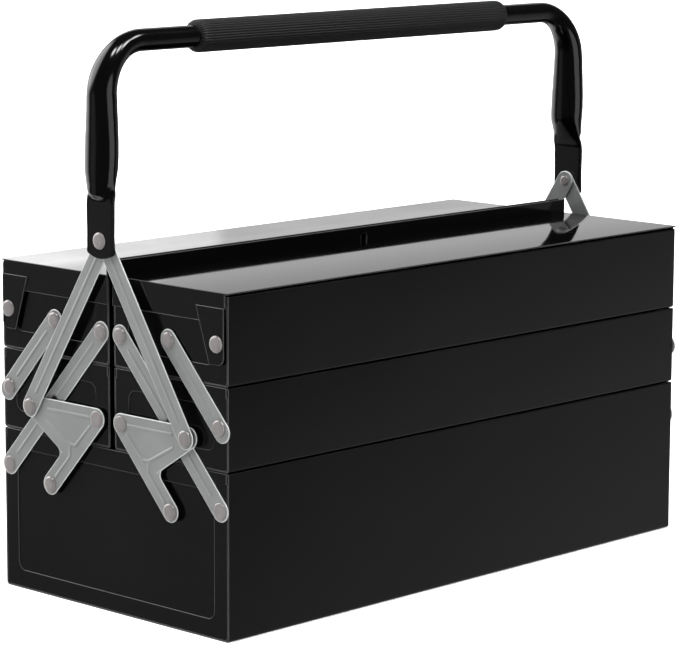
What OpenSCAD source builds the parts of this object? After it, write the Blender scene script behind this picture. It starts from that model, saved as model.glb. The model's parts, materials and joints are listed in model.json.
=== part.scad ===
// Cantilever tool box: one deep bottom tray, two middle and two top half trays that swing
// out to the front and the back on parallel links, two hinged lids, and one carrying handle
// whose lift arms draw the trays together. +X is the length, -Y the front, +Z is up.
// The origin is on the floor, under the middle of the box. Lengths are in millimetres.

/* [Trays] */
// Length of every tray, from end face to end face
tray_length = 439; // [360:1:520]
// Depth of the closed box, from long face to long face
box_depth = 211; // [196:1:236]
// Height of the bottom tray
bottom_height = 106.1; // [92:0.1:125]
// Height of each middle tray
mid_height = 52.7; // [48:0.1:58]
// Height of each top tray, without its lid
top_height = 56; // [50:0.1:64]
// Slot between the front and the back half trays
centre_gap = 4.6; // [3:0.1:8]
// Gap between one tier and the next
tier_gap = 0.5; // [0.3:0.1:1.5]
// Thickness of the tray and lid sheet
sheet = 1; // [0.8:0.1:1.3]
// Outer radius of the bend between a tray's floor and its long walls
bend_r = 2; // [1.5:0.1:4]
// Depth of the folded hem along a tray's rim
hem_depth = 6; // [3:0.5:9]

/* [Pressed end panels] */
// Depth of the pressed field in each end panel
press_depth = 0.6; // [0.3:0.1:0.8]
// Corner radius of the pressed field
press_corner = 6; // [3:0.5:9]
// Distance from a tray's outer edge to the pressed field
press_outer = 12.9; // [10:0.1:16]
// Distance from a half tray's inner edge to the pressed field
press_inner = 13.5; // [13:0.1:18]
// Distance from a tray's floor to the pressed field
press_foot = 12.5; // [8:0.1:16]
// Distance from a tray's rim to the pressed field
press_head = 12.5; // [8:0.1:16]

/* [Lids] */
// Height of the gap between a top tray's rim and its lid
lid_gap = 1.2; // [0.9:0.1:2]
// Depth of the lid's end flange, below the lid's top
flange_depth = 19; // [14:0.5:22]
// Height of the upright rib along a lid's inner edge
rib_height = 9.6; // [6:0.1:14]
// Width of the padlock slot in that rib
slot_width = 6; // [4:0.1:9]
// Height of the padlock slot
slot_height = 5.3; // [4:0.1:6]
// Place of the padlock slot along the box
slot_x = 8; // [-40:1:40]
// Distance from the long face to the lid's hinge rivet
lid_pivot_inset = 8.2; // [7.4:0.1:10]
// Distance from the lid's top to its hinge rivet
lid_pivot_drop = 31.8; // [28:0.1:35]
// Distance from the lid's hinge rivet to the lower end of its ear
ear_below = 13.2; // [11:0.1:16]
// How far the ear's outer edge stands in from the long face
ear_inset = 2.1; // [1:0.1:2.3]
// Width of the ear at its lower end
ear_foot_width = 12.7; // [12:0.1:16]
// Width of the ear where it fades into the flange
ear_head_width = 24.4; // [18:0.1:28]
// Distance from the lid's top to that place
ear_drop = 9.3; // [6:0.1:12]
// How far the ear's joggled face stands proud of the flange
ear_joggle = 1; // [0.4:0.1:1]

/* [Linkage] */
// Rise from one pivot of a link to the next, with the box closed
link_rise = 49.2; // [46:0.1:54]
// Half the width of the links and lift arms, which is also their end radius
link_r = 7; // [6.2:0.1:7.4]
// Half the width of the crank plates' legs, which is also their end radius
crank_r = 7; // [6.5:0.1:7.5]
// How much further the short links run past their lower rivet
short_link_tail = 3; // [0:0.1:4]
// Thickness of the links, crank plates and lift arms
link_t = 1; // [0.8:0.1:1.5]
// Side play between one layer of links and the next
layer_play = 0.15; // [0.1:0.05:0.3]
// Height of the crank plates' inner pivot above the middle tray's floor
crank_pivot_z = 18.2; // [17:0.1:22]
// Distance from the middle tray's inner edge to that pivot
crank_pivot_inset = 9.1; // [8.5:0.1:11]
// How far the crank plates reach outwards beyond their lower pivot
crank_reach = 17.2; // [12:0.1:22]
// Distance from the crank plates' lower pivot to the notch at the foot of their arm
crank_notch_reach = 24.5; // [22:0.1:27]
// Height of the long links' middle pivot above the middle tray's floor
long_pivot_z = 25; // [22:0.1:30]
// Distance from the long face to the long links' lower pivot
long_pivot_inset = 6.3; // [6:0.1:9]
// Distance from the top tray's inner edge to the long links' upper pivot
long_top_inset = 6.7; // [6.3:0.1:9]
// Height of the short links' lower pivot above the middle tray's floor
short_pivot_z = 27.5; // [24:0.1:32]
// Distance from the long face to the short links' lower pivot
short_pivot_inset = 7.1; // [6.3:0.1:9]
// Height of the apex rivets above the lids
apex_above_lid = 22.6; // [18:0.1:30]
// Width of the narrow pressed bead along each link
bead_w = 2.6; // [1.5:0.1:4]
// Height of that bead
bead_h = 0.4; // [0.2:0.05:0.5]
// Distance from a pivot to the end of a bead
bead_start = 12; // [10:0.5:16]
// The same distance at the long links' middle pivot, whose rivet is flush
bead_mid_start = 5.5; // [5.2:0.1:16]

/* [Rivets] */
// Radius of every rivet's shank
shank_r = 2.5; // [1.8:0.1:3]
// Radial running clearance of a link on its rivet
running_clearance = 0.05; // [0.02:0.01:0.1]
// Radius of a rivet's head
head_r = 5.4; // [4.5:0.1:5.8]
// Height of a free-standing domed head
head_h = 1.8; // [1:0.1:2]
// Height of a low head, which another plate passes over
low_head_h = 0.9; // [0.7:0.1:1.2]
// Height of the apex rivets' heads
apex_head_h = 1.5; // [1:0.1:2]
// Radius of the long links' flush middle rivets, at the link's face
flush_head_r = 3.4; // [3.1:0.1:3.6]
// Radius of the upset tail inside the tray
tail_r = 3.6; // [3.2:0.1:3.8]
// Thickness of the upset tail
tail_t = 1; // [0.6:0.1:2]

/* [Handle] */
// Height of the handle's top bar above the apex rivets
handle_rise = 123.6; // [110:0.1:140]
// Radius of the round tube under the grip
bar_r = 7.2; // [6:0.1:8]
// Half the width of the flattened tube in the legs
leg_half_width = 12.9; // [10:0.1:13]
// Wall of the tube
tube_wall = 1.2; // [1:0.1:2]
// Radius of the bends, along the tube's centre line
handle_bend_r = 33; // [26:0.5:45]
// Thickness of the flattened ends
flat_t = 2.4; // [2:0.1:3]
// Width of the flattened ends
flat_w = 25.4; // [24:0.1:27]
// How far the flattened ends reach below the apex rivets
flat_below = 11.3; // [9:0.1:14]
// Radius of the flattened ends' curved lower edge
flat_edge_r = 25; // [14:0.5:40]
// How far the legs' centre lines stand inboard of the flattened ends
leg_inset = 1.75; // [0.5:0.05:2.5]
// Length of the grip
grip_length = 294; // [240:1:320]
// Radius of the grip over its ribs
grip_r = 10.65; // [9.5:0.05:13]
// Radius of the grip's rounded ends
grip_round = 2.8; // [1:0.1:2.9]

/* [Hidden] */
$fn = 48;

black_paint = "#1a1a1b";
link_grey = "#8b8f8e";
rivet_grey = "#a59c9c";
grip_black = "#2b2b2c";

// Radial gap of a rivet in the panel that it is closed on, and side play under a head
closed_fit = 0.01;
head_play = 0.05;
// Margin by which a cut runs past the face that it opens
over = 0.5;
// Round ends stand this much proud of the bars between them, so that outlines cross cleanly
proud = 0.02;

// Tiers, from the floor up
half_depth = box_depth / 2;
inner_edge = centre_gap / 2;
mid_z0 = bottom_height + tier_gap;
top_z0 = mid_z0 + mid_height + tier_gap;
lid_z0 = top_z0 + top_height + lid_gap;
lid_top = lid_z0 + sheet;
half_width = half_depth - inner_edge;

// Pivots of the back half as [y, z]; the front half is its mirror image
link_step = [-(half_depth - long_pivot_inset - inner_edge - long_top_inset) / 2, link_rise];
crank_inner = [inner_edge + crank_pivot_inset, mid_z0 + crank_pivot_z];
crank_low = crank_inner - link_step;
crank_outer = [crank_low[0] + crank_reach, crank_inner[1]];
long_low = [half_depth - long_pivot_inset, mid_z0 + long_pivot_z - link_rise];
long_mid = long_low + link_step;
long_top = long_mid + link_step;
short_low = [half_depth - short_pivot_inset, mid_z0 + short_pivot_z];
short_top = short_low + link_step;
lid_pivot = [half_depth - lid_pivot_inset, lid_top - lid_pivot_drop];
apex = [0, lid_top + apex_above_lid];

// Layers outside the end faces, as distances from the middle of the box
x_end = tray_length / 2;
x_field = x_end - press_depth;
x_link = x_end + layer_play;
x_ear = x_link + sheet + ear_joggle;
x_low_head = x_link + link_t + head_play;
x_crank = x_low_head + low_head_h + layer_play;
x_crank_head = x_crank + link_t + head_play;
x_back_arm = x_crank_head + low_head_h + layer_play;
x_front_arm = x_back_arm + link_t + layer_play;
x_handle = x_front_arm + link_t + bead_h + layer_play;
x_apex_head = x_handle + flat_t + head_play;
// The lift arms' outer rivets end clear of the beads on the crank plates
x_arm_rivet = x_crank + link_t + bead_h + layer_play;

bore_r = shank_r + running_clearance;
spacer_r = 5.6;
leg_x = x_handle + flat_t / 2 - leg_inset;
bar_z = apex[1] + handle_rise;
ear_corner = 5;
crank_fillet = 4.5;
head_rim = 0.35;

// ---- placing -------------------------------------------------------------------------

// Turns a piece drawn for the back half at the right end into the named half and end
module placed(h = "back", s = "right") {
    mirror([s == "left" ? 1 : 0, 0, 0])
        mirror([0, h == "front" ? 1 : 0, 0])
            children();
}

// Stands an outline drawn in Y and Z on the plane x, t thick outwards
module upright(x, t) {
    translate([x, 0, 0]) rotate([90, 0, 90]) linear_extrude(t) children();
}

// Cylinder along X between two planes
module rod_x(p, x0, x1, r) {
    translate([x0, p[0], p[1]]) rotate([0, 90, 0]) cylinder(r = r, h = x1 - x0);
}

// Cut for a countersunk hole along X, with its radius on each of two planes
module sink_x(p, x0, x1, r0, r1) {
    spread = (r1 - r0) / (x1 - x0) * over;
    translate([x0 - over, p[0], p[1]]) rotate([0, 90, 0])
        cylinder(r1 = r0 - spread, r2 = r1 + spread, h = x1 - x0 + 2 * over);
}

// ---- outlines ------------------------------------------------------------------------

// Bars with round ends and joints from each point to the next
module bars(points, r) {
    for (p = points) translate(p) circle(r);
    for (i = [1 : len(points) - 1]) {
        d = points[i] - points[i - 1];
        translate(points[i - 1]) rotate(atan2(d[1], d[0]))
            translate([0, proud - r]) square([norm(d), 2 * (r - proud)]);
    }
}

// Rectangle with round lower corners
module foot_block(w, h, r) {
    translate([r, 0]) square([w - 2 * r, r]);
    translate([0, r]) square([w, h - r]);
    for (y = [r, w - r]) translate([y, r]) circle(r);
}

// Rectangle with four round corners, from its low corner
module round_block(w, h, r) {
    translate([r, 0]) square([w - 2 * r, h]);
    translate([0, r]) square([w, h - 2 * r]);
    for (y = [r, w - r], z = [r, h - r]) translate([y, z]) circle(r);
}

// ---- trays ---------------------------------------------------------------------------

// Section of a tray: floor, two long walls, and hems folded inwards along both rims
module pan_section(w, h) {
    difference() {
        foot_block(w, h - sheet, bend_r);
        translate([sheet, sheet]) foot_block(w - 2 * sheet, h, bend_r - sheet);
    }
    for (y = [0, w - 2 * sheet]) {
        translate([y, h - hem_depth]) square([2 * sheet, hem_depth - sheet]);
        translate([y + sheet, h - sheet]) circle(sheet);
    }
}

module pan(y0, z0, w, h) {
    color(black_paint)
        upright(-x_end, tray_length) translate([y0, z0]) pan_section(w, h);
}

// Outline of an end panel, which stands on the floor between the walls and their hems
module panel_outline(w, h) {
    translate([sheet, bend_r]) square([w - 2 * sheet, h - bend_r - hem_depth]);
    translate([bend_r, sheet]) square([w - 2 * bend_r, h - sheet]);
}

// Pressed field of a panel, inset from the outer and the inner edge
module field_outline(w, h, low, high, grow = 0) {
    translate([low - grow, press_foot - grow])
        round_block(w - low - high + 2 * grow, h - press_foot - press_head + 2 * grow,
                    press_corner + grow);
}

// End panel at the right end; holes are the pivots that rivets pass through
module end_panel(y0, z0, w, h, low, high, holes) {
    backing = 0.4;
    color(black_paint) difference() {
        union() {
            upright(x_end - sheet, sheet) translate([y0, z0]) panel_outline(w, h);
            upright(x_end - sheet - press_depth, press_depth + over / 2)
                translate([y0, z0]) field_outline(w, h, low, high, backing);
            upright(x_end - 2 * sheet, sheet)
                translate([y0 + 2 * sheet, z0 + h - hem_depth])
                    square([w - 4 * sheet, hem_depth]);
        }
        upright(x_field, press_depth + over) translate([y0, z0]) field_outline(w, h, low, high);
        for (p = holes) rod_x(p, x_end - 3 * sheet, x_end + over, shank_r + closed_fit);
    }
}

// The same point of the other half
function flipped(p) = [-p[0], p[1]];

module bottom_tray_pan() {
    pan(-half_depth, 0, box_depth, bottom_height);
}

module bottom_tray_end(s) {
    placed("back", s)
        end_panel(-half_depth, 0, box_depth, bottom_height, press_outer, press_outer,
                  [crank_low, flipped(crank_low), long_low, flipped(long_low)]);
}

module mid_tray_pan(h) {
    placed(h) pan(inner_edge, mid_z0, half_width, mid_height);
}

module mid_tray_end(h, s) {
    placed(h, s) end_panel(inner_edge, mid_z0, half_width, mid_height, press_inner, press_outer,
                           [crank_inner, long_mid, short_low]);
}

module top_tray_pan(h) {
    placed(h) pan(inner_edge, top_z0, half_width, top_height);
}

module top_tray_end(h, s) {
    placed(h, s) end_panel(inner_edge, top_z0, half_width, top_height, press_inner, press_outer,
                           [long_top, short_top, lid_pivot]);
}

// ---- lids ----------------------------------------------------------------------------

ear_low = lid_pivot[1] - ear_below;
ear_out = half_depth - ear_inset;
flange_low = lid_top - flange_depth;
// Inner edge of the ear: at its lower end, and where the joggle fades into the flange
ear_in_low = ear_out - ear_foot_width;
ear_in_high = ear_out - ear_head_width;
ear_top = lid_top - ear_drop;

// Outline of the ear
module ear_outline() {
    difference() {
        polygon([[ear_in_low, ear_low], [ear_out, ear_low], [ear_out, ear_top],
                 [ear_in_high, ear_top]]);
        translate([ear_out - ear_corner, ear_low]) square([ear_corner + over, ear_corner]);
    }
    difference() {
        translate([ear_out - ear_corner, ear_low + ear_corner]) circle(ear_corner);
        translate([ear_out - 3 * ear_corner, ear_low - over])
            square([2 * ear_corner, 3 * ear_corner]);
    }
}

module lid_end() {
    difference() {
        union() {
            upright(x_link, sheet) translate([inner_edge, flange_low])
                square([ear_out - inner_edge, lid_z0 - flange_low]);
            upright(x_link + ear_joggle, sheet) ear_outline();
            // The joggle fills the step between the flange and the ear
            upright(x_link, sheet + ear_joggle) intersection() {
                ear_outline();
                translate([0, flange_low]) square([half_depth, ear_top - flange_low]);
            }
        }
        rod_x(lid_pivot, x_link - over, x_ear + over, bore_r);
    }
}

module lid(h) {
    lid_half = x_link + sheet;
    color(black_paint) placed(h) {
        translate([-lid_half, inner_edge, lid_z0]) cube([2 * lid_half, half_width, sheet]);
        for (s = ["left", "right"]) placed("back", s) lid_end();
        difference() {
            translate([-lid_half, inner_edge, lid_top]) cube([2 * lid_half, sheet, rib_height]);
            translate([slot_x, inner_edge - over, lid_top - over / 2]) {
                translate([-slot_width / 2, 0, 0])
                    cube([slot_width, sheet + 2 * over, slot_height - slot_width / 2 + over / 2]);
                translate([0, 0, slot_height - slot_width / 2 + over / 2])
                    rotate([-90, 0, 0]) cylinder(r = slot_width / 2, h = sheet + 2 * over);
            }
        }
    }
}

// ---- links, crank plates and lift arms --------------------------------------------------

// Bar with round ends, along the first axis
module straight_bar(length, r) {
    circle(r);
    translate([length, 0]) circle(r);
    translate([0, -r]) square([length, 2 * r]);
}

// Straight link through the pivots in pins, with one bead between each pair of neighbours;
// it is drawn along its own axis and then turned into place. It runs on past its first
// pivot by the length of the tail. A middle pivot is countersunk for a flush rivet.
module link(pins, x, tail = 0) {
    last = len(pins) - 1;
    d = pins[last] - pins[0];
    reach = [for (p = pins) norm(p - pins[0])];
    color(link_grey) translate([0, pins[0][0], pins[0][1]]) rotate([atan2(d[1], d[0]), 0, 0]) {
        difference() {
            upright(x, link_t) translate([-tail, 0]) straight_bar(reach[last] + tail, link_r);
            for (i = [0, last]) rod_x([reach[i], 0], x - over, x + link_t + over, bore_r);
            if (last > 1)
                sink_x([reach[1], 0], x, x + link_t, bore_r, flush_head_r + running_clearance);
        }
        for (i = [0 : last - 1]) {
            from = reach[i] + (i == 0 ? bead_start : bead_mid_start);
            to = reach[i + 1] - (i == last - 1 ? bead_start : bead_mid_start);
            upright(x + link_t, bead_h) translate([from, 0]) straight_bar(to - from, bead_w / 2);
        }
    }
}

// Notch of the crank plate: the corner where its leg meets the arm to the lift rivet
crank_dir = (crank_inner - crank_low) / norm(link_step);
crank_out = [crank_dir[1], -crank_dir[0]];
crank_notch = crank_low + crank_dir * crank_notch_reach + crank_out * crank_r;
arm_dir = (crank_outer - crank_notch) / norm(crank_outer - crank_notch);
tangent_turn = asin((crank_r - proud) / norm(crank_outer - crank_notch));
function turned(v, a) = [v[0] * cos(a) - v[1] * sin(a), v[0] * sin(a) + v[1] * cos(a)];
// Lower edge of the arm, from the notch to where it touches the lift rivet's eye
edge_dir = turned(arm_dir, -tangent_turn);
eye_touch = crank_notch + edge_dir * norm(crank_outer - crank_notch) * cos(tangent_turn);

module crank_outline() {
    polygon([crank_inner, crank_outer, eye_touch, crank_notch,
             on_leg(crank_notch_reach - crank_fillet, 0)]);
    bars([crank_low, crank_inner, crank_outer], crank_r);
    crank_notch_fillet();
}

// Fills the notch's sharp corner to a radius
module crank_notch_fillet() {
    bend = acos(edge_dir * -crank_dir);
    run = crank_fillet / tan(bend / 2);
    centre = crank_notch + (edge_dir - crank_dir) / norm(edge_dir - crank_dir)
        * crank_fillet / sin(bend / 2);
    difference() {
        polygon([crank_notch - crank_out, crank_notch + edge_dir * run, centre,
                 crank_notch - crank_dir * run]);
        translate(centre) circle(crank_fillet + proud);
    }
}

// Point of the crank plate, along its leg from the lower pivot and outwards from that line
function on_leg(along, outwards) = crank_low + crank_dir * along + crank_out * outwards;

// Beads of a crank plate: one along its top, one that runs up the leg and turns at the notch
// towards the lift rivet, and one down from the inner pivot that meets it behind the notch
bead_turn = on_leg(34.4, 5.6);
top_bead = [crank_inner + [7, 0], crank_outer - [15.5, 0]];
leg_bead = [on_leg(7.5, 0), on_leg(29, 0), bead_turn, crank_outer - [14.5, 8.5]];
inner_bead = [on_leg(norm(link_step) - 8.5, 0.7), on_leg(38, 1.4), bead_turn];

module crank(h, s) {
    color(link_grey) placed(h, s) {
        difference() {
            upright(x_crank, link_t) crank_outline();
            for (p = [crank_inner, crank_low, crank_outer])
                rod_x(p, x_crank - over, x_crank + link_t + over, bore_r);
        }
        upright(x_crank + link_t, bead_h) {
            bars(top_bead, bead_w / 2);
            bars(leg_bead, bead_w / 2);
            bars(inner_bead, bead_w / 2);
        }
    }
}

module long_link(h, s) {
    placed(h, s) link([long_low, long_mid, long_top], x_link);
}

module short_link(h, s) {
    placed(h, s) link([short_low, short_top], x_link, short_link_tail);
}

function arm_x(h) = h == "front" ? x_front_arm : x_back_arm;

module lift_arm(h, s) {
    placed(h, s) link([apex, crank_outer], arm_x(h));
}

// ---- rivets and spacers ----------------------------------------------------------------

// Half section of a domed head with a short upright rim, lying on z = x
module head_section(x, h, r) {
    crown = h - head_rim;
    ball_r = (r * r + crown * crown) / (2 * crown);
    translate([0, x]) square([r, head_rim]);
    intersection() {
        translate([0, x + h - ball_r]) circle(ball_r, $fn = 96);
        translate([0, x]) square([r, h]);
    }
}

// Turns a half section about the X axis through the point p
module turned_x(p) {
    translate([0, p[0], p[1]]) rotate([0, 90, 0]) rotate_extrude() children();
}

// Rivet from its upset tail on the plane x0 to the underside of its head on the plane x1
module rivet(p, x0, x1, h) {
    turned_x(p) {
        translate([0, x0 - tail_t]) square([tail_r, tail_t]);
        translate([0, x0 - tail_t / 2]) square([shank_r, x1 - x0 + tail_t / 2 + head_rim / 2]);
        head_section(x1, h, head_r);
    }
}

// Rivet whose head fills a countersunk hole, from the plane x1 to the link's face on x2
module flush_rivet(p, x0, x1, x2) {
    turned_x(p) polygon([[0, x0 - tail_t], [tail_r, x0 - tail_t], [tail_r, x0], [shank_r, x0],
                         [shank_r, x1], [flush_head_r, x2], [0, x2]]);
}

module spacer(p, x0, x1) {
    difference() {
        rod_x(p, x0, x1, spacer_r);
        rod_x(p, x0 - over, x1 + over, shank_r + closed_fit);
    }
}

module both_ends() {
    for (s = ["left", "right"]) placed("back", s) children();
}

// Inner faces of an end panel: plain, and behind its pressed field
x_plain_in = x_end - sheet;
x_field_in = x_end - sheet - press_depth;

module bottom_tray_rivets() {
    color(rivet_grey) both_ends() for (h = ["front", "back"]) placed(h) {
        rivet(crank_low, x_field_in, x_crank_head, head_h);
        rivet(long_low, x_plain_in, x_low_head, low_head_h);
    }
}

module bottom_tray_spacers() {
    color(black_paint) both_ends() for (h = ["front", "back"]) placed(h)
        spacer(crank_low, x_field, x_crank - layer_play);
}

module mid_tray_rivets(h) {
    color(rivet_grey) both_ends() placed(h) {
        rivet(crank_inner, x_plain_in, x_crank_head, low_head_h);
        flush_rivet(long_mid, x_field_in, x_link, x_link + link_t);
        rivet(short_low, x_plain_in, x_low_head, head_h);
    }
}

module mid_tray_spacers(h) {
    color(black_paint) both_ends() placed(h)
        spacer(crank_inner, x_end, x_crank - layer_play);
}

module top_tray_rivets(h) {
    color(rivet_grey) both_ends() placed(h) {
        rivet(long_top, x_plain_in, x_low_head, head_h);
        rivet(short_top, x_field_in, x_low_head, head_h);
        rivet(lid_pivot, x_plain_in, x_ear + head_play, head_h);
    }
}

// Rivet of a lift arm's outer end, closed on the arm and its spacer
module arm_rivets(h) {
    x_head = arm_x(h) + link_t;
    color(rivet_grey) both_ends() placed(h) turned_x(crank_outer) {
        translate([0, x_arm_rivet]) square([shank_r, x_head - x_arm_rivet + head_rim / 2]);
        head_section(x_head, head_h, head_r);
    }
}

module arm_spacers(h) {
    color(black_paint) both_ends() placed(h)
        spacer(crank_outer, x_arm_rivet, arm_x(h));
}

// Pivot shared by both lift arms and the handle at each end
module apex_rivets() {
    color(rivet_grey) both_ends()
        rivet(apex, x_back_arm - head_play, x_apex_head, apex_head_h);
}

// ---- handle ---------------------------------------------------------------------------

// Sections of a leg as [height above the apex, half thickness, half width, inset]: from
// the flattened end, over the shoulder where the tube opens, to the foot of the bend
leg_sections = [
    [25, flat_t / 2, flat_w / 2 - 0.3, 0],
    [31, flat_t / 2 + 2.4, flat_w / 2 + 0.4, 0.3 * leg_inset],
    [36.5, bar_r - 1.4, leg_half_width + 0.1, 0.75 * leg_inset],
    [43, bar_r - 0.2, leg_half_width + 0.3, leg_inset],
    [54, bar_r, leg_half_width + 0.5, leg_inset],
    [70, bar_r, leg_half_width, leg_inset]
];
vent_r = 2;
bend_steps = 9;
// Half width of the tube where the bend starts, and how oval it still is where the bend ends
bend_half_width = leg_half_width - 0.7;
bend_flat = 0.5;
tube_sides = 32;
bar_ease = 16;

// Rings of the tube as [x, z, direction, half thickness, half width], for the right half
leg_rings = [for (r = leg_sections)
    [x_handle + flat_t / 2 - r[3], apex[1] + r[0], 90, r[1], r[2]]];
bend_rings = [for (i = [0 : bend_steps]) let (a = 90 * i / bend_steps)
    [leg_x - handle_bend_r * (1 - cos(a)), bar_z - handle_bend_r * (1 - sin(a)), 90 + a,
     bar_r, bend_half_width + (bar_r + bend_flat - bend_half_width) * pow(sin(a), 2)]];
ease_rings = [[leg_x - handle_bend_r - bar_ease, bar_z, 180, bar_r, bar_r]];
half_rings = concat(leg_rings, bend_rings, ease_rings);
// The cavity starts above the shoulder
cavity_rings = concat([leg_rings[3], leg_rings[4], leg_rings[5]], bend_rings, ease_rings);

function mirrored_rings(rings) = [for (i = [len(rings) - 1 : -1 : 0])
    [-rings[i][0], rings[i][1], 360 - rings[i][2], rings[i][3], rings[i][4]]];

// Points of one ring; its plane is square to the tube's direction in the XZ plane
function ring_points(r, wall) = [for (k = [0 : tube_sides - 1])
    let (t = 360 * k / tube_sides, u = (r[3] - wall) * cos(t), v = (r[4] - wall) * sin(t))
    [r[0] + u * sin(r[2]), v, r[1] - u * cos(r[2])]];

module tube_body(rings, wall) {
    n = tube_sides;
    points = [for (r = rings) each ring_points(r, wall)];
    last = len(rings) - 1;
    sides = [for (i = [0 : last - 1], k = [0 : n - 1])
        each [[(i + 1) * n + (k + 1) % n, i * n + (k + 1) % n, i * n + k],
              [(i + 1) * n + k, (i + 1) * n + (k + 1) % n, i * n + k]]];
    caps = [[for (k = [0 : n - 1]) k], [for (k = [n - 1 : -1 : 0]) last * n + k]];
    polyhedron(points, concat(sides, caps), convexity = 6);
}

// Flattened end with its curved lower edge
module flat_outline() {
    low = apex[1] - flat_below;
    top = apex[1] + leg_sections[0][0] + 4;
    intersection() {
        translate([-flat_w / 2, low]) square([flat_w, top - low]);
        union() {
            translate([0, low + flat_edge_r]) circle(flat_edge_r, $fn = 96);
            translate([-flat_w, low + flat_edge_r]) square([2 * flat_w, top]);
        }
    }
}

module handle_tube() {
    color(black_paint) {
        difference() {
            tube_body(concat(half_rings, mirrored_rings(half_rings)), 0);
            tube_body(concat(cavity_rings, mirrored_rings(cavity_rings)), tube_wall);
            // Vent hole, under the grip
            translate([0, 0, bar_z - bar_r - over]) cylinder(r = vent_r, h = bar_r + over, $fn = 12);
        }
        both_ends() difference() {
            upright(x_handle, flat_t) flat_outline();
            rod_x(apex, x_handle - over, x_handle + flat_t + over, bore_r);
        }
    }
}

module handle_grip() {
    color(grip_black) translate([0, 0, bar_z]) rotate([0, 90, 0]) difference() {
        union() {
            cylinder(r = grip_r, h = grip_length - 2 * grip_round, center = true);
            cylinder(r = grip_r - grip_round, h = grip_length, center = true);
            for (e = [-1, 1]) translate([0, 0, e * (grip_length / 2 - grip_round)])
                rotate_extrude() translate([grip_r - grip_round, 0]) circle(grip_round);
        }
        cylinder(r = bar_r, h = grip_length + 2 * over, center = true);
    }
}

bottom_tray_pan();
bottom_tray_end("left");  // bottom_tray_left_end
bottom_tray_end("right");  // bottom_tray_right_end
bottom_tray_rivets();
bottom_tray_spacers();
mid_tray_pan("front");  // front_mid_tray_pan
mid_tray_end("front", "left");  // front_mid_tray_left_end
mid_tray_end("front", "right");  // front_mid_tray_right_end
mid_tray_rivets("front");  // front_mid_tray_rivets
mid_tray_spacers("front");  // front_mid_tray_spacers
mid_tray_pan("back");  // back_mid_tray_pan
mid_tray_end("back", "left");  // back_mid_tray_left_end
mid_tray_end("back", "right");  // back_mid_tray_right_end
mid_tray_rivets("back");  // back_mid_tray_rivets
mid_tray_spacers("back");  // back_mid_tray_spacers
top_tray_pan("front");  // front_top_tray_pan
top_tray_end("front", "left");  // front_top_tray_left_end
top_tray_end("front", "right");  // front_top_tray_right_end
top_tray_rivets("front");  // front_top_tray_rivets
top_tray_pan("back");  // back_top_tray_pan
top_tray_end("back", "left");  // back_top_tray_left_end
top_tray_end("back", "right");  // back_top_tray_right_end
top_tray_rivets("back");  // back_top_tray_rivets
lid("front");  // front_lid
lid("back");  // back_lid
crank("front", "left");  // front_left_crank
crank("front", "right");  // front_right_crank
crank("back", "left");  // back_left_crank
crank("back", "right");  // back_right_crank
long_link("front", "left");  // front_left_long_link
long_link("front", "right");  // front_right_long_link
long_link("back", "left");  // back_left_long_link
long_link("back", "right");  // back_right_long_link
short_link("front", "left");  // front_left_short_link
short_link("front", "right");  // front_right_short_link
short_link("back", "left");  // back_left_short_link
short_link("back", "right");  // back_right_short_link
lift_arm("front", "left");  // front_left_lift_arm
lift_arm("front", "right");  // front_right_lift_arm
lift_arm("back", "left");  // back_left_lift_arm
lift_arm("back", "right");  // back_right_lift_arm
arm_rivets("front");  // front_arm_rivets
arm_rivets("back");  // back_arm_rivets
arm_spacers("front");  // front_arm_spacers
arm_spacers("back");  // back_arm_spacers
apex_rivets();
handle_tube();
handle_grip();
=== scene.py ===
"""Looks of a cantilever tool box: black enamelled sheet steel, zinc plated links and a ribbed grip."""

import json
import math

import bmesh
import bpy
from mathutils import Matrix, Vector


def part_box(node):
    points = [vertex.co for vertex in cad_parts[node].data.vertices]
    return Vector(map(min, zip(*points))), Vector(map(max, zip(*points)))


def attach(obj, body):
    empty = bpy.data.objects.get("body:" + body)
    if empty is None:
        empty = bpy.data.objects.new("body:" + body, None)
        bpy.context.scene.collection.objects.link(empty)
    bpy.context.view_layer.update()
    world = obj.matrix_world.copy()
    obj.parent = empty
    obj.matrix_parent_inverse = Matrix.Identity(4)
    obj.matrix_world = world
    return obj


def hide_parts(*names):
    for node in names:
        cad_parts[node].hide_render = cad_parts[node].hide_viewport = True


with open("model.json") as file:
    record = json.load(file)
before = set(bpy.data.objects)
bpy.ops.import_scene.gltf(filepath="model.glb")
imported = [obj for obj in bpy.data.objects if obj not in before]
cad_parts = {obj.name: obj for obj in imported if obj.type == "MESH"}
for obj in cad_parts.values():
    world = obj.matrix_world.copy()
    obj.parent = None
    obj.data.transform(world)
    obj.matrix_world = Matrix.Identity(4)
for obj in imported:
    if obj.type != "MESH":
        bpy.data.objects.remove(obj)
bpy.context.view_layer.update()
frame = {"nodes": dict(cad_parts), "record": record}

# ---- names and places of the pieces ------------------------------------------------------------

nodes = frame["nodes"]
record = frame["record"]
slot_of = {part["node"]: part["material_slot"] for part in record["subparts"]}
body_of = {node: body for body, members in record["behaviour"]["bodies"].items() for node in members}
tray_nodes = [n for n in nodes if "_tray_" in n and not n.endswith(("rivets", "spacers"))]
lid_nodes = ["front_lid", "back_lid"]
link_nodes = [n for n in nodes if n.endswith(("_crank", "_link", "_lift_arm"))]
rivet_nodes = [n for n in nodes if n.endswith("rivets")]
scene = bpy.context.scene
MM = 0.001

# ---- camera ------------------------------------------------------------------------------------

PHOTO_WIDTH = 679
PHOTO_HEIGHT = 646
SENSOR_MM = 36.0
# Focal length in pixels of the photograph, and where the camera stood, in metres
FOCAL_PIXELS = 3080.2
CAMERA_PLACE = Vector((-1.4991, -1.4273, 0.5070))
CAMERA_AZIMUTH = math.radians(-46.17)
CAMERA_ELEVATION = math.radians(9.47)
CAMERA_ROLL = math.radians(0.22)
CLIP_NEAR = 0.05
CLIP_FAR = 50


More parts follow.
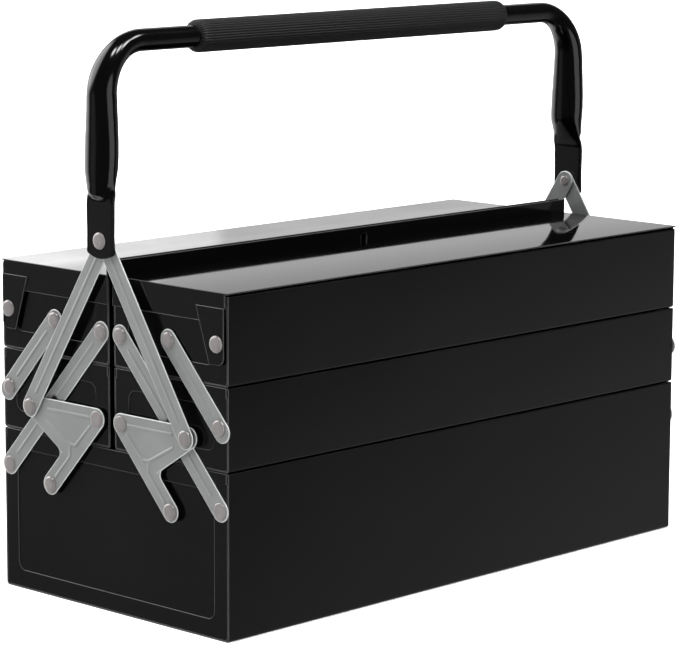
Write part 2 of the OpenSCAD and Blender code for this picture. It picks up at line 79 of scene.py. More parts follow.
def set_camera():
    data = bpy.data.cameras.new("camera")
    data.sensor_width = SENSOR_MM
    data.sensor_fit = "HORIZONTAL"
    data.lens = FOCAL_PIXELS / PHOTO_WIDTH * SENSOR_MM
    data.clip_start = CLIP_NEAR
    data.clip_end = CLIP_FAR
    camera = bpy.data.objects.new("camera", data)
    scene.collection.objects.link(camera)
    turn = (Matrix.Rotation(CAMERA_AZIMUTH, 3, "Z")
            @ Matrix.Rotation(math.pi / 2 - CAMERA_ELEVATION, 3, "X")
            @ Matrix.Rotation(CAMERA_ROLL, 3, "Z"))
    camera.matrix_world = Matrix.Translation(CAMERA_PLACE) @ turn.to_4x4()
    scene.camera = camera
    scene.render.resolution_x = PHOTO_WIDTH
    scene.render.resolution_y = PHOTO_HEIGHT


set_camera()

# ---- colours and node trees --------------------------------------------------------------------


def colour(hex_code):
    """Linear RGBA from an sRGB hex value."""
    values = [int(hex_code[i:i + 2], 16) / 255 for i in (0, 2, 4)]
    linear = [v / 12.92 if v <= 0.04045 else ((v + 0.055) / 1.055) ** 2.4 for v in values]
    return (*linear, 1.0)


def add(tree, kind, settings=None, links=None):
    """One node, with its settings and what feeds its inputs: sockets or values. "stops" fill a ramp."""
    node = tree.nodes.new(kind)
    for key, value in (settings or {}).items():
        if key == "stops":
            while len(node.color_ramp.elements) < len(value):
                node.color_ramp.elements.new(0.5)
            for element, (place, shade) in zip(node.color_ramp.elements, value):
                element.position = place
                element.color = shade
        else:
            setattr(node, key, value)
    for key, value in (links or {}).items():
        if isinstance(value, bpy.types.NodeSocket):
            tree.links.new(value, node.inputs[key])
        else:
            node.inputs[key].default_value = value
    return node


def new_tree(name):
    material = bpy.data.materials.new(name)
    material.use_nodes = True
    material.node_tree.nodes.clear()
    return material, material.node_tree


def per_metre(size_mm):
    """Scale of a texture whose features are that many millimetres across."""
    return 1.0 / (size_mm * MM)


# Mesh attribute that is 1 on the narrow rounds of edges, which the materials lighten there as a painted
# highlight, for the light that these rounds catch
PAINTED_HIGHLIGHT_MASK = "edge_wear"
# Most of a noise texture's values lie between these two
NOISE_LOW = 0.3
NOISE_HIGH = 0.7

# Gloss enamel baked onto sheet steel: a near black that only its reflections bring out, with slow
# changes of gloss across a panel and the slightest ripple of the film
ENAMEL_BLACK = "020202"
ENAMEL_BLACK_THIN = "040404"
# Painted highlight: lighter grey laid on the rounded edges, for the light that they catch
ENAMEL_EDGE_HIGHLIGHT = "383838"
ENAMEL_CLOUD_MM = 80
ENAMEL_RIPPLE_MM = 14
ENAMEL_SPECKLE_MM = 0.8
# Height of the film's ripple, and the share of it that the speckle adds
ENAMEL_RIPPLE_HEIGHT = 0.5 * MM
SPECKLE_SHARE = 0.03
ENAMEL_IOR = 1.5


def gloss_enamel(name, roughness, roughness_thin, ripple):
    material, tree = new_tree(name)
    place = add(tree, "ShaderNodeTexCoord").outputs["Object"]
    cloud = add(tree, "ShaderNodeTexNoise", links={
        "Vector": place, "Scale": per_metre(ENAMEL_CLOUD_MM), "Detail": 3.0})
    tint = add(tree, "ShaderNodeValToRGB", {
        "stops": [(0.35, colour(ENAMEL_BLACK)), (NOISE_HIGH, colour(ENAMEL_BLACK_THIN))]}, {
        "Fac": cloud.outputs["Fac"]})
    # Painted highlight: the rounded edges are lightened towards the edge grey
    highlight_mask = add(tree, "ShaderNodeAttribute", {"attribute_name": PAINTED_HIGHLIGHT_MASK})
    edge_highlighted = add(tree, "ShaderNodeMix", {"data_type": "RGBA"}, {
        "Factor": highlight_mask.outputs["Fac"], "A": tint.outputs["Color"], "B": colour(ENAMEL_EDGE_HIGHLIGHT)})
    gloss = add(tree, "ShaderNodeMapRange", links={
        "Value": cloud.outputs["Fac"], "From Min": NOISE_LOW, "From Max": NOISE_HIGH,
        "To Min": roughness, "To Max": roughness_thin})
    film = add(tree, "ShaderNodeTexNoise", links={
        "Vector": place, "Scale": per_metre(ENAMEL_RIPPLE_MM), "Detail": 1.0})
    speckle = add(tree, "ShaderNodeTexNoise", links={
        "Vector": place, "Scale": per_metre(ENAMEL_SPECKLE_MM), "Detail": 1.0})
    height = add(tree, "ShaderNodeMath", {"operation": "MULTIPLY_ADD"}, {
        0: speckle.outputs["Fac"], 1: SPECKLE_SHARE, 2: film.outputs["Fac"]})
    bump = add(tree, "ShaderNodeBump", links={
        "Strength": ripple, "Distance": ENAMEL_RIPPLE_HEIGHT, "Height": height.outputs[0]})
    shader = add(tree, "ShaderNodeBsdfPrincipled", links={
        "Base Color": edge_highlighted.outputs["Result"], "Roughness": gloss.outputs[0], "IOR": ENAMEL_IOR,
        "Normal": bump.outputs["Normal"]})
    add(tree, "ShaderNodeOutputMaterial", links={"Surface": shader.outputs["BSDF"]})
    return material


# Bright zinc plate on pressed steel: pale neutral grey with a soft sheen, a fine grain, and
# clouds where the plating dulled
ZINC_GRAIN_MM = 0.9
ZINC_CLOUD_MM = 18
# Painted highlight: paler grey laid on the rounded rims, for the light that they catch
ZINC_EDGE_HIGHLIGHT = "c9cbca"
# Height of the grain, its share in the colour, and how much rougher the dull clouds are
ZINC_GRAIN_HEIGHT = 0.08 * MM
ZINC_GRAIN_SHARE = 0.35
ZINC_DULLING = 0.08


def zinc_plate(name, light, dark, roughness, metallic, grain):
    material, tree = new_tree(name)
    place = add(tree, "ShaderNodeTexCoord").outputs["Object"]
    fine = add(tree, "ShaderNodeTexNoise", links={
        "Vector": place, "Scale": per_metre(ZINC_GRAIN_MM), "Detail": 2.0})
    cloud = add(tree, "ShaderNodeTexNoise", links={
        "Vector": place, "Scale": per_metre(ZINC_CLOUD_MM), "Detail": 3.0})
    mix = add(tree, "ShaderNodeMath", {"operation": "MULTIPLY_ADD"}, {
        0: fine.outputs["Fac"], 1: ZINC_GRAIN_SHARE, 2: cloud.outputs["Fac"]})
    tint = add(tree, "ShaderNodeValToRGB", {
        "stops": [(0.45, colour(dark)), (0.9, colour(light))]}, {"Fac": mix.outputs[0]})
    # Painted highlight: the rounded rims are lightened towards the rim grey
    highlight_mask = add(tree, "ShaderNodeAttribute", {"attribute_name": PAINTED_HIGHLIGHT_MASK})
    edge_highlighted = add(tree, "ShaderNodeMix", {"data_type": "RGBA"}, {
        "Factor": highlight_mask.outputs["Fac"], "A": tint.outputs["Color"], "B": colour(ZINC_EDGE_HIGHLIGHT)})
    sheen = add(tree, "ShaderNodeMapRange", links={
        "Value": cloud.outputs["Fac"], "From Min": NOISE_LOW, "From Max": NOISE_HIGH,
        "To Min": roughness, "To Max": roughness + ZINC_DULLING})
    bump = add(tree, "ShaderNodeBump", links={
        "Strength": grain, "Distance": ZINC_GRAIN_HEIGHT, "Height": fine.outputs["Fac"]})
    shader = add(tree, "ShaderNodeBsdfPrincipled", links={
        "Base Color": edge_highlighted.outputs["Result"], "Roughness": sheen.outputs[0], "Metallic": metallic,
        "Normal": bump.outputs["Normal"]})
    add(tree, "ShaderNodeOutputMaterial", links={"Surface": shader.outputs["BSDF"]})
    return material


# Soft moulded plastic of the grip: matt black with a very fine pebble
PLASTIC_BLACK = "0b0b0c"
PLASTIC_BLACK_RUBBED = "121213"
PLASTIC_ROUGHNESS = 0.5
PLASTIC_IOR = 1.48
PEBBLE_MM = 0.6
PEBBLE_HEIGHT = 0.1 * MM
PEBBLE_STRENGTH = 0.3


def moulded_plastic(name):
    material, tree = new_tree(name)
    place = add(tree, "ShaderNodeTexCoord").outputs["Object"]
    pebble = add(tree, "ShaderNodeTexNoise", links={
        "Vector": place, "Scale": per_metre(PEBBLE_MM), "Detail": 2.0})
    tint = add(tree, "ShaderNodeValToRGB", {
        "stops": [(0.35, colour(PLASTIC_BLACK)), (0.65, colour(PLASTIC_BLACK_RUBBED))]}, {
        "Fac": pebble.outputs["Fac"]})
    bump = add(tree, "ShaderNodeBump", links={
        "Strength": PEBBLE_STRENGTH, "Distance": PEBBLE_HEIGHT, "Height": pebble.outputs["Fac"]})
    shader = add(tree, "ShaderNodeBsdfPrincipled", links={
        "Base Color": tint.outputs["Color"], "Roughness": PLASTIC_ROUGHNESS, "IOR": PLASTIC_IOR,
        "Normal": bump.outputs["Normal"]})
    add(tree, "ShaderNodeOutputMaterial", links={"Surface": shader.outputs["BSDF"]})
    return material


# The record's material slots. The lids are the smoothest and mirror the room, the handle comes next,
# and the trays only shine. The rivets are smoother and a little warmer than the links.
finishes = {
    "black_enamel": gloss_enamel(
        "baked_black_enamel", roughness=0.2, roughness_thin=0.27, ripple=0.02),
    "lid_enamel": gloss_enamel(
        "lid_black_enamel", roughness=0.06, roughness_thin=0.09, ripple=0.008),
    "handle_enamel": gloss_enamel(
        "handle_black_enamel", roughness=0.11, roughness_thin=0.14, ripple=0.01),
    "link_zinc": zinc_plate(
        "zinc_plated_links", "8c8e8d", "848685", roughness=0.4, metallic=0.4, grain=0.2),
    "rivet_zinc": zinc_plate(
        "zinc_plated_rivets", "9a9594", "8d8988", roughness=0.18, metallic=0.5, grain=0.15),
    "grip_plastic": moulded_plastic("moulded_grip_plastic")}


def finish_of(node):
    return finishes[slot_of[node]]


for node in nodes:
    slots = nodes[node].data.materials
    slots.clear()
    slots.append(finish_of(node))

# ---- pressed sheet and links -------------------------------------------------------------------

# Where the rivets stand, as (y, z) in metres, so that no edge is rounded under a head
RIVET_SPOTS = []
RIVET_CLEAR = 4.5 * MM
# Rounding of a sheet's cut edges and of a link's outer rim
SHEET_EDGE = 0.4 * MM
LINK_EDGE = 0.55 * MM
EDGE_STEPS = 3
# Width of a bead's flank, its height, and what is left of the upright foot of its side
BEAD_FLANK = 0.85 * MM
BEAD_HEIGHT = 0.4 * MM
BEAD_FOOT = 0.1 * MM
# Vertices closer than this become one, in a sheet and in a link, whose outlines have tiny steps
SHEET_JOIN = 0.002 * MM
LINK_JOIN = 0.06 * MM
# Faces within the first angle are one flat, and edges past the second are corners to round
FLAT = math.radians(0.5)
CORNER = math.radians(40)
# Shading breaks past these angles, on sheets and links, on rivets and grip, and on the handle
SHEET_CREASE = math.radians(12)
HEAD_CREASE = math.radians(50)
TUBE_CREASE = math.radians(60)
# Two places this close are taken as level
LEVEL = 0.01 * MM


def merged(node, join=SHEET_JOIN):
    """Copy of a CAD node's loose triangles as one mesh, its flat faces and shortest edges joined."""
    work = bmesh.new()
    work.from_mesh(nodes[node].data)
    work.faces.layers.float.new(PAINTED_HIGHLIGHT_MASK)
    bmesh.ops.remove_doubles(work, verts=work.verts, dist=join)
    bmesh.ops.dissolve_limit(work, angle_limit=FLAT, verts=work.verts, edges=work.edges)
    return work


def placed(mesh, name, node, crease):
    """Piece that stands for a CAD node, with its body and finish, smooth but for its creases."""
    mesh.materials.clear()
    mesh.materials.append(finish_of(node))
    mesh.polygons.foreach_set("use_smooth", [True] * len(mesh.polygons))
    mesh.set_sharp_from_angle(angle=crease)
    piece = bpy.data.objects.new(name, mesh)
    scene.collection.objects.link(piece)
    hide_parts(node)
    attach(piece, body_of[node])


def finished(work, name, node, crease):
    """Piece from a worked mesh, in place of a CAD node."""
    mesh = bpy.data.meshes.new(name)
    work.to_mesh(mesh)
    work.free()
    placed(mesh, name, node, crease)


def near_rivet(edge):
    middle = (edge.verts[0].co + edge.verts[1].co) / 2
    return any(math.hypot(middle.y - y, middle.z - z) < RIVET_CLEAR for y, z in RIVET_SPOTS)


def sharp_edges(work):
    """Outward corners of a mesh, clear of its rivets."""
    found = []
    for edge in work.edges:
        if len(edge.link_faces) != 2 or not edge.is_convex:
            continue
        if edge.calc_face_angle(0) > CORNER and not near_rivet(edge):
            found.append(edge)
    return found


def round_edges(work, edges, width, steps):
    """Rounds edges and marks the new faces for the painted highlight that the materials lay on them."""
    made = bmesh.ops.bevel(work, geom=edges, offset=width, offset_type="OFFSET", segments=steps,
                           profile=0.5, affect="EDGES", clamp_overlap=False)
    highlight_layer = work.faces.layers.float[PAINTED_HIGHLIGHT_MASK]
    for face in made["faces"]:
        face[highlight_layer] = 1.0


def pressed_sheet(node):
    """Tray, end panel or lid with the small round that pressing and enamel leave on every edge."""
    work = merged(node)
    round_edges(work, sharp_edges(work), SHEET_EDGE, EDGE_STEPS)
    finished(work, node + "_sheet", node, SHEET_CREASE)


def pressed_link(node):
    """Link with rolled outer rim, whose beads are low ridges with sloping flanks."""
    work = merged(node, LINK_JOIN)
    crest = max(abs(v.co.x) for v in work.verts)
    plate = crest - BEAD_HEIGHT
    back = min(abs(v.co.x) for v in work.verts)
    tops = [f for f in work.faces if all(abs(v.co.x) > crest - LEVEL for v in f.verts)]
    bmesh.ops.inset_region(work, faces=tops, thickness=BEAD_FLANK, use_even_offset=True,
                           use_boundary=True)
    ridge = {v for f in tops for v in f.verts}
    for vertex in work.verts:
        if abs(vertex.co.x) > crest - LEVEL and vertex not in ridge:
            vertex.co.x *= (plate + BEAD_FOOT) / abs(vertex.co.x)
    for level, width, steps in ((plate, LINK_EDGE, EDGE_STEPS), (back, SHEET_EDGE, 1)):
        rim = [e for e in sharp_edges(work)
               if all(abs(abs(v.co.x) - level) < 2 * LEVEL for v in e.verts)]
        round_edges(work, rim, width, steps)
    finished(work, node + "_pressed", node, SHEET_CREASE)


# ---- rivets ------------------------------------------------------------------------------------

HEAD_RADIUS = 5.4 * MM
SHANK_RADIUS = 2.5 * MM
# A rivet's upset tail lies this close to its inner end, and is this much smaller than the head and
# larger than the shank
TAIL_REACH = 2 * MM
TAIL_MARGIN = 0.5 * MM
# Thickness of the disc that shows of a flush rivet
FLUSH_DEPTH = 0.3 * MM
# A head is a ball swollen towards a box: 2 keeps it round, and more gives it a flatter top
HEAD_SQUARENESS = 3.4
HEAD_SIDES = 36
HEAD_RINGS = 18
# Share that is left of the ball's lower half
UNDERSIDE_KEPT = 0.03
# Kinds of shape that the tree sets on a point
DOME = 0
ROD = 1


def loose_parts(work):
    """Groups of vertices that hang together."""
    left = set(work.verts)
    parts = []
    while left:
        group = {left.pop()}
        border = list(group)
        while border:
            vertex = border.pop()
            for edge in vertex.link_edges:
                other = edge.other_vert(vertex)
                if other in left:
                    left.remove(other)
                    group.add(other)
                    border.append(other)
        parts.append([v.co.copy() for v in group])
    return parts


def rivet_shapes(points):
    """Domes and rods that make up one rivet, as (kind, place, size, side), from its CAD solid."""
    y = (min(p.y for p in points) + max(p.y for p in points)) / 2
    z = (min(p.z for p in points) + max(p.z for p in points)) / 2
    side = 1 if points[0].x > 0 else -1
    outer = max(abs(p.x) for p in points)
    inner = min(abs(p.x) for p in points)
    radius = [(abs(p.x), math.hypot(p.y - y, p.z - z)) for p in points]
    rims = [x for x, r in radius if r > HEAD_RADIUS - 0.1 * MM]
    tails = [x for x, r in radius
             if SHANK_RADIUS + TAIL_MARGIN < r < HEAD_RADIUS - TAIL_MARGIN and x < inner + TAIL_REACH]
    RIVET_SPOTS.append((y, z))
    shapes = []
    head = min(rims) if rims else outer
    foot = max(tails) if tails else inner
    if rims:
        shapes.append((DOME, (side * head, y, z), (HEAD_RADIUS, HEAD_RADIUS, outer - head), side))
    else:
        flush = max(r for x, r in radius if x > outer - LEVEL)
        shapes.append((ROD, (side * (outer - FLUSH_DEPTH / 2), y, z), (flush, flush, FLUSH_DEPTH), side))
    if tails:
        tail = max(r for x, r in radius if x < inner + LEVEL)
        shapes.append((DOME, (side * foot, y, z), (tail, tail, foot - inner), -side))
    middle = side * (head + foot) / 2
    shapes.append((ROD, (middle, y, z), (SHANK_RADIUS, SHANK_RADIUS, head - foot), side))
    return shapes


def new_group(name, inputs):
    """Empty geometry tree, with named inputs by the type of their sockets."""
    tree = bpy.data.node_groups.new(name, "GeometryNodeTree")
    tree.interface.new_socket("Geometry", in_out="INPUT", socket_type="NodeSocketGeometry")
    for label, kind in inputs.items():
        tree.interface.new_socket(label, in_out="INPUT", socket_type="NodeSocket" + kind)
    tree.interface.new_socket("Geometry", in_out="OUTPUT", socket_type="NodeSocketGeometry")
    return tree


def rivet_tree():
    """Tree that sets a pressed dome or a plain rod on each point, as its attributes say."""
    tree = new_group("rivets_on_points", {
        "Head Squareness": "Float", "Sides": "Int", "Plating": "Material"})
    given = add(tree, "NodeGroupInput").outputs
    ball = add(tree, "GeometryNodeMeshUVSphere", links={
        "Segments": given["Sides"], "Rings": HEAD_RINGS, "Radius": 1.0})
    position = add(tree, "GeometryNodeInputPosition").outputs[0]
    at = add(tree, "ShaderNodeSeparateXYZ", links={"Vector": position})
    flat = add(tree, "ShaderNodeCombineXYZ", links={"X": at.outputs["X"], "Y": at.outputs["Y"]})
    spread = add(tree, "ShaderNodeVectorMath", {"operation": "LENGTH"}, {0: flat.outputs[0]})
    rise = add(tree, "ShaderNodeMath", {"operation": "ABSOLUTE"}, {0: at.outputs["Z"]})
    wide = add(tree, "ShaderNodeMath", {"operation": "POWER"}, {
        0: spread.outputs["Value"], 1: given["Head Squareness"]})
    high = add(tree, "ShaderNodeMath", {"operation": "POWER"}, {
        0: rise.outputs[0], 1: given["Head Squareness"]})
    both = add(tree, "ShaderNodeMath", {"operation": "ADD"}, {0: wide.outputs[0], 1: high.outputs[0]})
    power = add(tree, "ShaderNodeMath", {"operation": "DIVIDE"}, {0: -1.0, 1: given["Head Squareness"]})
    swell = add(tree, "ShaderNodeMath", {"operation": "POWER"}, {
        0: both.outputs[0], 1: power.outputs[0]})
    below = add(tree, "ShaderNodeMath", {"operation": "LESS_THAN"}, {0: at.outputs["Z"], 1: -0.001})
    keep = add(tree, "ShaderNodeMath", {"operation": "MULTIPLY_ADD"}, {
        0: below.outputs[0], 1: UNDERSIDE_KEPT - 1, 2: 1.0})
    new_z = add(tree, "ShaderNodeMath", {"operation": "MULTIPLY"}, {
        0: at.outputs["Z"], 1: keep.outputs[0]})
    aim = add(tree, "ShaderNodeCombineXYZ", links={
        "X": at.outputs["X"], "Y": at.outputs["Y"], "Z": new_z.outputs[0]})
    domed = add(tree, "ShaderNodeVectorMath", {"operation": "SCALE"}, {
        0: aim.outputs[0], "Scale": swell.outputs[0]})
    dome = add(tree, "GeometryNodeSetPosition", links={
        "Geometry": ball.outputs["Mesh"], "Position": domed.outputs[0]})
    rod = add(tree, "GeometryNodeMeshCylinder", links={
        "Vertices": given["Sides"], "Radius": 1.0, "Depth": 1.0})
    kind = add(tree, "GeometryNodeInputNamedAttribute", {"data_type": "INT"}, {"Name": "kind"})
    size = add(tree, "GeometryNodeInputNamedAttribute", {"data_type": "FLOAT_VECTOR"}, {"Name": "size"})
    side = add(tree, "GeometryNodeInputNamedAttribute", {"data_type": "FLOAT"}, {"Name": "side"})
    lean = add(tree, "ShaderNodeMath", {"operation": "MULTIPLY"}, {
        0: side.outputs["Attribute"], 1: math.pi / 2})
    turn = add(tree, "ShaderNodeCombineXYZ", links={"Y": lean.outputs[0]})
    joined = add(tree, "GeometryNodeJoinGeometry")
    for number, shape in ((DOME, dome.outputs["Geometry"]), (ROD, rod.outputs["Mesh"])):
        chosen = add(tree, "FunctionNodeCompare", {"data_type": "INT", "operation": "EQUAL"})
        tree.links.new(kind.outputs["Attribute"], chosen.inputs[2])
        chosen.inputs[3].default_value = number
        stood = add(tree, "GeometryNodeInstanceOnPoints", links={
            "Points": given["Geometry"], "Selection": chosen.outputs[0], "Instance": shape,
            "Rotation": turn.outputs[0], "Scale": size.outputs["Attribute"]})
        tree.links.new(stood.outputs[0], joined.inputs[0])
    real = add(tree, "GeometryNodeRealizeInstances", links={"Geometry": joined.outputs[0]})
    coat = add(tree, "GeometryNodeSetMaterial", links={
        "Geometry": real.outputs[0], "Material": given["Plating"]})
    add(tree, "NodeGroupOutput", links={"Geometry": coat.outputs[0]})
    return tree


def grown(base, tree, values):
    """Plain mesh that a node tree makes from a base mesh, with its inputs set by their identifiers."""
    carrier = bpy.data.objects.new("carrier", base)
    scene.collection.objects.link(carrier)
    modifier = carrier.modifiers.new("tree", "NODES")
    modifier.node_group = tree
    for item in tree.interface.items_tree:
        if item.in_out == "INPUT" and item.name in values:
            modifier[item.identifier] = values[item.name]
    made = carrier.evaluated_get(bpy.context.evaluated_depsgraph_get())
    mesh = bpy.data.meshes.new_from_object(made)
    carrier.modifiers.clear()
    bpy.data.objects.remove(carrier)
    return mesh


def set_rivets():
    tree = rivet_tree()
    for node in rivet_nodes:
        work = merged(node)
        shapes = [shape for part in loose_parts(work) for shape in rivet_shapes(part)]
        work.free()
        base = bpy.data.meshes.new("rivet_points")
        base.from_pydata([shape[1] for shape in shapes], [], [])
        base.attributes.new("kind", "INT", "POINT").data.foreach_set("value", [s[0] for s in shapes])
        base.attributes.new("size", "FLOAT_VECTOR", "POINT").data.foreach_set(
            "vector", [v for s in shapes for v in s[2]])
        base.attributes.new("side", "FLOAT", "POINT").data.foreach_set(
            "value", [float(s[3]) for s in shapes])
        mesh = grown(base, tree, {
            "Head Squareness": HEAD_SQUARENESS, "Sides": HEAD_SIDES, "Plating": finish_of(node)})
        placed(mesh, node + "_heads", node, HEAD_CREASE)


# ---- grip --------------------------------------------------------------------------------------

grip_low, grip_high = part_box("handle_grip")
GRIP_HALF = (grip_high.x - grip_low.x) / 2
GRIP_RADIUS = (grip_high.y - grip_low.y) / 2
GRIP_AXIS_Z = (grip_high.z + grip_low.z) / 2
GRIP_RIBS = 38
RIB_RADIUS = 0.86 * MM
RIB_SIDES = 12
# Round of the sleeve's ends, depth of the grooves between the ribs, and rings along the sleeve
GRIP_ROUND = 2.8 * MM
GROOVE_DEPTH = 0.45 * MM
GRIP_RINGS = 49


def grip_tree():
    """Tree that sweeps a round-ended sleeve and sets fine lengthwise ribs all round it."""
    tree = new_group("ribbed_sleeve", {
        "Half Length": "Float", "Radius": "Float", "Rib Radius": "Float", "End Round": "Float",
        "Groove": "Float", "Height": "Float", "Ribs": "Int", "Plastic": "Material"})
    given = add(tree, "NodeGroupInput").outputs
    line = add(tree, "GeometryNodeCurvePrimitiveLine", links={"Start": (-1, 0, 0), "End": (1, 0, 0)})
    stations = add(tree, "GeometryNodeResampleCurve", {"mode": "COUNT"}, {
        "Curve": line.outputs[0], "Count": GRIP_RINGS})
    position = add(tree, "GeometryNodeInputPosition").outputs[0]
    at = add(tree, "ShaderNodeSeparateXYZ", links={"Vector": position})
    # Stations crowd towards both ends, where the sleeve is rounded
    quarter = add(tree, "ShaderNodeMath", {"operation": "MULTIPLY"}, {
        0: at.outputs["X"], 1: math.pi / 2})
    crowded = add(tree, "ShaderNodeMath", {"operation": "SINE"}, {0: quarter.outputs[0]})
    along = add(tree, "ShaderNodeMath", {"operation": "MULTIPLY"}, {
        0: crowded.outputs[0], 1: given["Half Length"]})
    stretched = add(tree, "ShaderNodeCombineXYZ", links={"X": along.outputs[0]})
    axis = add(tree, "GeometryNodeSetPosition", links={
        "Geometry": stations.outputs[0], "Position": stretched.outputs[0]})
    # Within the rounded ends, how far the sleeve has fallen away from its full radius
    reach = add(tree, "ShaderNodeMath", {"operation": "ABSOLUTE"}, {0: at.outputs["X"]})
    full = add(tree, "ShaderNodeMath", {"operation": "SUBTRACT"}, {
        0: given["Half Length"], 1: given["End Round"]})
    past = add(tree, "ShaderNodeMath", {"operation": "SUBTRACT"}, {
        0: reach.outputs[0], 1: full.outputs[0]})
    over = add(tree, "ShaderNodeMath", {"operation": "MAXIMUM"}, {0: past.outputs[0], 1: 0.0})
    over_2 = add(tree, "ShaderNodeMath", {"operation": "MULTIPLY"}, {
        0: over.outputs[0], 1: over.outputs[0]})
    round_2 = add(tree, "ShaderNodeMath", {"operation": "MULTIPLY"}, {
        0: given["End Round"], 1: given["End Round"]})
    left = add(tree, "ShaderNodeMath", {"operation": "SUBTRACT"}, {
        0: round_2.outputs[0], 1: over_2.outputs[0]})
    kept = add(tree, "ShaderNodeMath", {"operation": "MAXIMUM"}, {0: left.outputs[0], 1: 0.0})
    root = add(tree, "ShaderNodeMath", {"operation": "SQRT"}, {0: kept.outputs[0]})
    fall = add(tree, "ShaderNodeMath", {"operation": "SUBTRACT"}, {
        0: given["End Round"], 1: root.outputs[0]})
    centre = add(tree, "ShaderNodeMath", {"operation": "SUBTRACT"}, {
        0: given["Radius"], 1: given["Rib Radius"]})
    crest = add(tree, "ShaderNodeMath", {"operation": "SUBTRACT"}, {
        0: centre.outputs[0], 1: fall.outputs[0]})
    outside = add(tree, "ShaderNodeMath", {"operation": "ADD"}, {
        0: crest.outputs[0], 1: given["Rib Radius"]})
    floor = add(tree, "ShaderNodeMath", {"operation": "SUBTRACT"}, {
        0: outside.outputs[0], 1: given["Groove"]})
    ring = add(tree, "GeometryNodeCurvePrimitiveCircle", links={
        "Resolution": 2 * GRIP_RIBS, "Radius": 1.0})
    sleeve = add(tree, "GeometryNodeCurveToMesh", links={
        "Curve": axis.outputs[0], "Profile Curve": ring.outputs[0], "Scale": floor.outputs[0],
        "Fill Caps": True})
    lifted = add(tree, "ShaderNodeCombineXYZ", links={"Z": crest.outputs[0]})
    spine = add(tree, "GeometryNodeSetPosition", links={
        "Geometry": axis.outputs[0], "Offset": lifted.outputs[0]})
    bead = add(tree, "GeometryNodeCurvePrimitiveCircle", links={
        "Resolution": RIB_SIDES, "Radius": given["Rib Radius"]})
    rib = add(tree, "GeometryNodeCurveToMesh", links={
        "Curve": spine.outputs[0], "Profile Curve": bead.outputs[0], "Fill Caps": True})
    spots = add(tree, "GeometryNodePoints", links={"Count": given["Ribs"]})
    step = add(tree, "ShaderNodeMath", {"operation": "DIVIDE"}, {0: 2 * math.pi, 1: given["Ribs"]})
    index = add(tree, "GeometryNodeInputIndex").outputs[0]
    angle = add(tree, "ShaderNodeMath", {"operation": "MULTIPLY"}, {0: index, 1: step.outputs[0]})
    turn = add(tree, "ShaderNodeCombineXYZ", links={"X": angle.outputs[0]})
    ribs = add(tree, "GeometryNodeInstanceOnPoints", links={
        "Points": spots.outputs[0], "Instance": rib.outputs[0], "Rotation": turn.outputs[0]})
    joined = add(tree, "GeometryNodeJoinGeometry")
    tree.links.new(sleeve.outputs[0], joined.inputs[0])
    tree.links.new(ribs.outputs[0], joined.inputs[0])
    raised = add(tree, "ShaderNodeCombineXYZ", links={"Z": given["Height"]})
    stood = add(tree, "GeometryNodeTransform", links={
        "Geometry": joined.outputs[0], "Translation": raised.outputs[0]})
    real = add(tree, "GeometryNodeRealizeInstances", links={"Geometry": stood.outputs[0]})
    coat = add(tree, "GeometryNodeSetMaterial", links={
        "Geometry": real.outputs[0], "Material": given["Plastic"]})
    add(tree, "NodeGroupOutput", links={"Geometry": coat.outputs[0]})
    return tree


def sleeve_grip():
    mesh = grown(bpy.data.meshes.new("sleeve_base"), grip_tree(), {
        "Half Length": GRIP_HALF, "Radius": GRIP_RADIUS, "Rib Radius": RIB_RADIUS,
        "End Round": GRIP_ROUND, "Groove": GROOVE_DEPTH, "Height": GRIP_AXIS_Z, "Ribs": GRIP_RIBS,
        "Plastic": finish_of("handle_grip")})
    work = bmesh.new()
    work.from_mesh(mesh)
    bmesh.ops.recalc_face_normals(work, faces=work.faces)
    work.to_mesh(mesh)
    work.free()
    placed(mesh, "ribbed_grip", "handle_grip", HEAD_CREASE)


# ---- handle ------------------------------------------------------------------------------------

tube_low, tube_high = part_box("handle_tube")
BAR_RADIUS = 7.2 * MM
BAR_Z = GRIP_AXIS_Z
BEND_RADIUS = 33 * MM
LEG_X = tube_high.x - BAR_RADIUS
# Half thickness, middle plane and foot of the flattened end, and the radius of its lower edge
STRAP_HALF = 1.2 * MM
STRAP_X = LEG_X + 1.75 * MM
STRAP_FOOT = tube_low.z
STRAP_ARC = 25 * MM
# Heights above the foot where the flattened end has rings, crowded where its edge curves most
STRAP_STATIONS_MM = (0, 0.15, 0.5, 1.1, 2, 3, 4.2, 8, 14, 20, 26)
# From this height up, the leg has a ring at each millimetre
LEG_FOOT_MM = 256
TUBE_SIDES = 48
BEND_STEP_DEGREES = 3
# Half depth of the tube in the leg, and its half width at the foot of the bend
LEG_DEPTH = 7.9 * MM
BEND_WIDTH = 11.2 * MM
# How far the bar runs on inside the grip
BAR_OVERLAP = 4 * MM
# Height, half width of the leg there, and shift of its middle towards the back, in millimetres
LEG_SHAPE = (
    (229, 12.6, 0.0), (244, 12.2, 0.0), (262, 12.5, 0.0), (269, 12.6, 0.1), (275, 12.0, 0.3),
    (279, 12.4, 0.7), (284, 13.0, 1.0), (289, 13.3, 0.8), (295, 13.4, 0.5), (303, 13.2, 0.3),
    (312, 12.6, 0.1), (325, 11.8, 0.0), (332, 11.5, 0.0))
# The flattened end opens into the tube over a crease that hangs like a U across its outer face, from
# one height in the middle to another at the sides. The inner face opens more slowly.
CREASE_LOW = 265 * MM
CREASE_SIDES = 274 * MM
CREASE_RISE = 5 * MM
INNER_OPENS = (264 * MM, 288 * MM)
# Over this range the ring goes from a flat strip with round edges to an ellipse, as the exponent
# of its outline falls from one number to the other
SECTION_OPENS = (262 * MM, 273 * MM)
STRIP_POWER = 7
ELLIPSE_POWER = 2
# Least half width of a ring, at the very foot
TIP_HALF = 0.1 * MM


def ease(value, low, high):
    """Smooth step from 0 at low to 1 at high."""
    t = min(max((value - low) / (high - low), 0), 1)
    return t * t * (3 - 2 * t)


